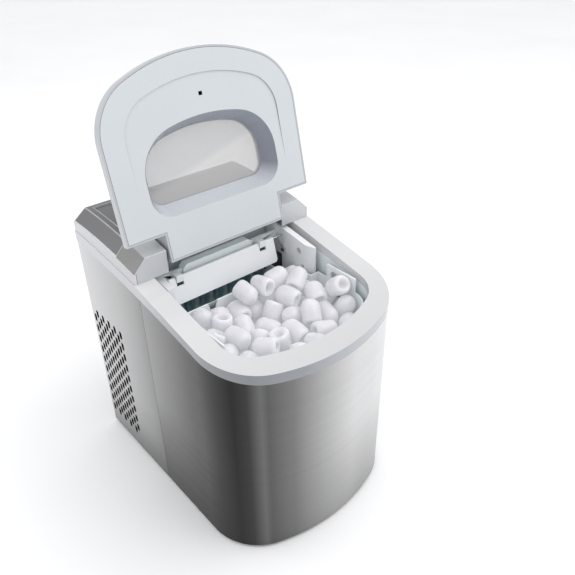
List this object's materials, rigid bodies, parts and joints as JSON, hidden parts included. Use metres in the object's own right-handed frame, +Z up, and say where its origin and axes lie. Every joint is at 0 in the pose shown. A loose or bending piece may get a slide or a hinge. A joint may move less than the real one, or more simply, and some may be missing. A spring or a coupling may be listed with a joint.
{
  "type": "countertop ice maker",
  "caption": "Countertop ice maker with a hinged, windowed lid, lift-out ice basket, tilting water tray and compressor cooling.",
  "frame": {"origin": "middle of the footprint, on the plane of the rubber feet's undersides", "axes": "+X to the right seen from the front, +Y to the rear, +Z up"},
  "size_m": [0.242, 0.32, 0.5025],
  "materials": {
    "dark_plastic": "matt",
    "rubber": "matt",
    "brushed_wrap": "brushed",
    "side_steel": "satin",
    "rim_white": "gloss",
    "deck_silver": "satin",
    "panel_black": "gloss",
    "button_silver": "satin",
    "lens": "clear",
    "pin_steel": "polished",
    "liner_teal": "satin",
    "foam": "matt",
    "bracket_white": "satin",
    "evap_metal": "satin",
    "condenser_black": "satin",
    "post_silver": "satin",
    "hose_clear": "satin",
    "compressor_black": "gloss",
    "copper_pipe": "satin",
    "board_green": "satin",
    "basket_white": "satin",
    "ice": "frosted",
    "lid_silver": "satin",
    "lid_white": "satin",
    "lid_clear": "clear"
  },
  "bodies": {
    "housing": {"base_pan": "dark_plastic", "rubber_feet": "rubber", "front_wrap": "brushed_wrap", "side_panel_left": "side_steel", "side_panel_right": "side_steel", "back_panel": "side_steel", "top_rim": "rim_white", "rear_cover": "deck_silver", "control_panel": "panel_black", "indicator_lenses": "lens", "hinge_post_left": "post_silver", "hinge_post_right": "post_silver", "hinge_pins": "pin_steel", "bin_liner": "liner_teal", "insulation": "foam", "side_bracket_left": "bracket_white", "side_bracket_right": "bracket_white", "bracket_screws": "pin_steel", "evaporator": "evap_metal", "evaporator_cover": "liner_teal", "shovel_rod": "pin_steel", "tray_motor": "dark_plastic", "tray_pivot": "pin_steel", "ice_full_sensor": "pin_steel", "water_pump": "dark_plastic", "water_hose": "hose_clear", "compressor": "compressor_black", "compressor_mounts": "rubber", "refrigerant_pipes": "copper_pipe", "condenser": "condenser_black", "fan_shroud": "dark_plastic", "fan_motor": "pin_steel", "control_board": "board_green", "power_inlet": "dark_plastic", "drain_spout": "dark_plastic", "panel_screws": "pin_steel"},
    "lid": {"lid_shell": "lid_silver", "lid_liner": "lid_white", "lid_window": "lid_clear", "lid_hinge_arms": "lid_white", "lid_screws": "pin_steel"},
    "basket": {"ice_basket": "basket_white", "ice_load": "ice"},
    "power_key": {"power_button": "button_silver"},
    "size_key": {"size_button": "button_silver"},
    "fan": {"fan_blade": "dark_plastic"},
    "tray": {"water_tray": "liner_teal"},
    "shovel": {"ice_shovel": "bracket_white"},
    "plug": {"drain_plug": "rubber"}
  },
  "joints": [
    {"name": "lid_hinge", "type": "hinge", "parent": "housing", "child": "lid", "pos_m": [0, 0.03802, 0.31036], "axis": [-1, 0, 0], "range_deg": [-114.2, 0]},
    {"name": "basket_lift", "type": "slide", "parent": "housing", "child": "basket", "axis": [0, 0, 1], "range_m": [0, 0.13]},
    {"name": "power_press", "type": "slide", "parent": "housing", "child": "power_key", "axis": [0, 0.0802, -0.9968], "range_m": [0, 0.0015], "stiffness_N_per_m": 400},
    {"name": "size_press", "type": "slide", "parent": "housing", "child": "size_key", "axis": [0, 0.0802, -0.9968], "range_m": [0, 0.0015], "stiffness_N_per_m": 400},
    {"name": "fan_spin", "type": "hinge", "parent": "housing", "child": "fan", "pos_m": [-0.085, 0.119, 0.11], "axis": [1, 0, 0], "continuous": true},
    {"name": "tray_tilt", "type": "hinge", "parent": "housing", "child": "tray", "pos_m": [0, 0.04, 0.232], "axis": [1, 0, 0], "range_deg": [0, 60]},
    {"name": "shovel_swing", "type": "hinge", "parent": "housing", "child": "shovel", "pos_m": [0, 0.0284, 0.275], "axis": [-1, 0, 0], "range_deg": [0, 50.5]},
    {"name": "plug_pull", "type": "slide", "parent": "housing", "child": "plug", "axis": [0, 1, 0], "range_m": [0, 0.02]}
  ],
  "couplings": [
    {"joint": "shovel_swing", "follows": "tray_tilt", "ratio": 0.8333}
  ]
}
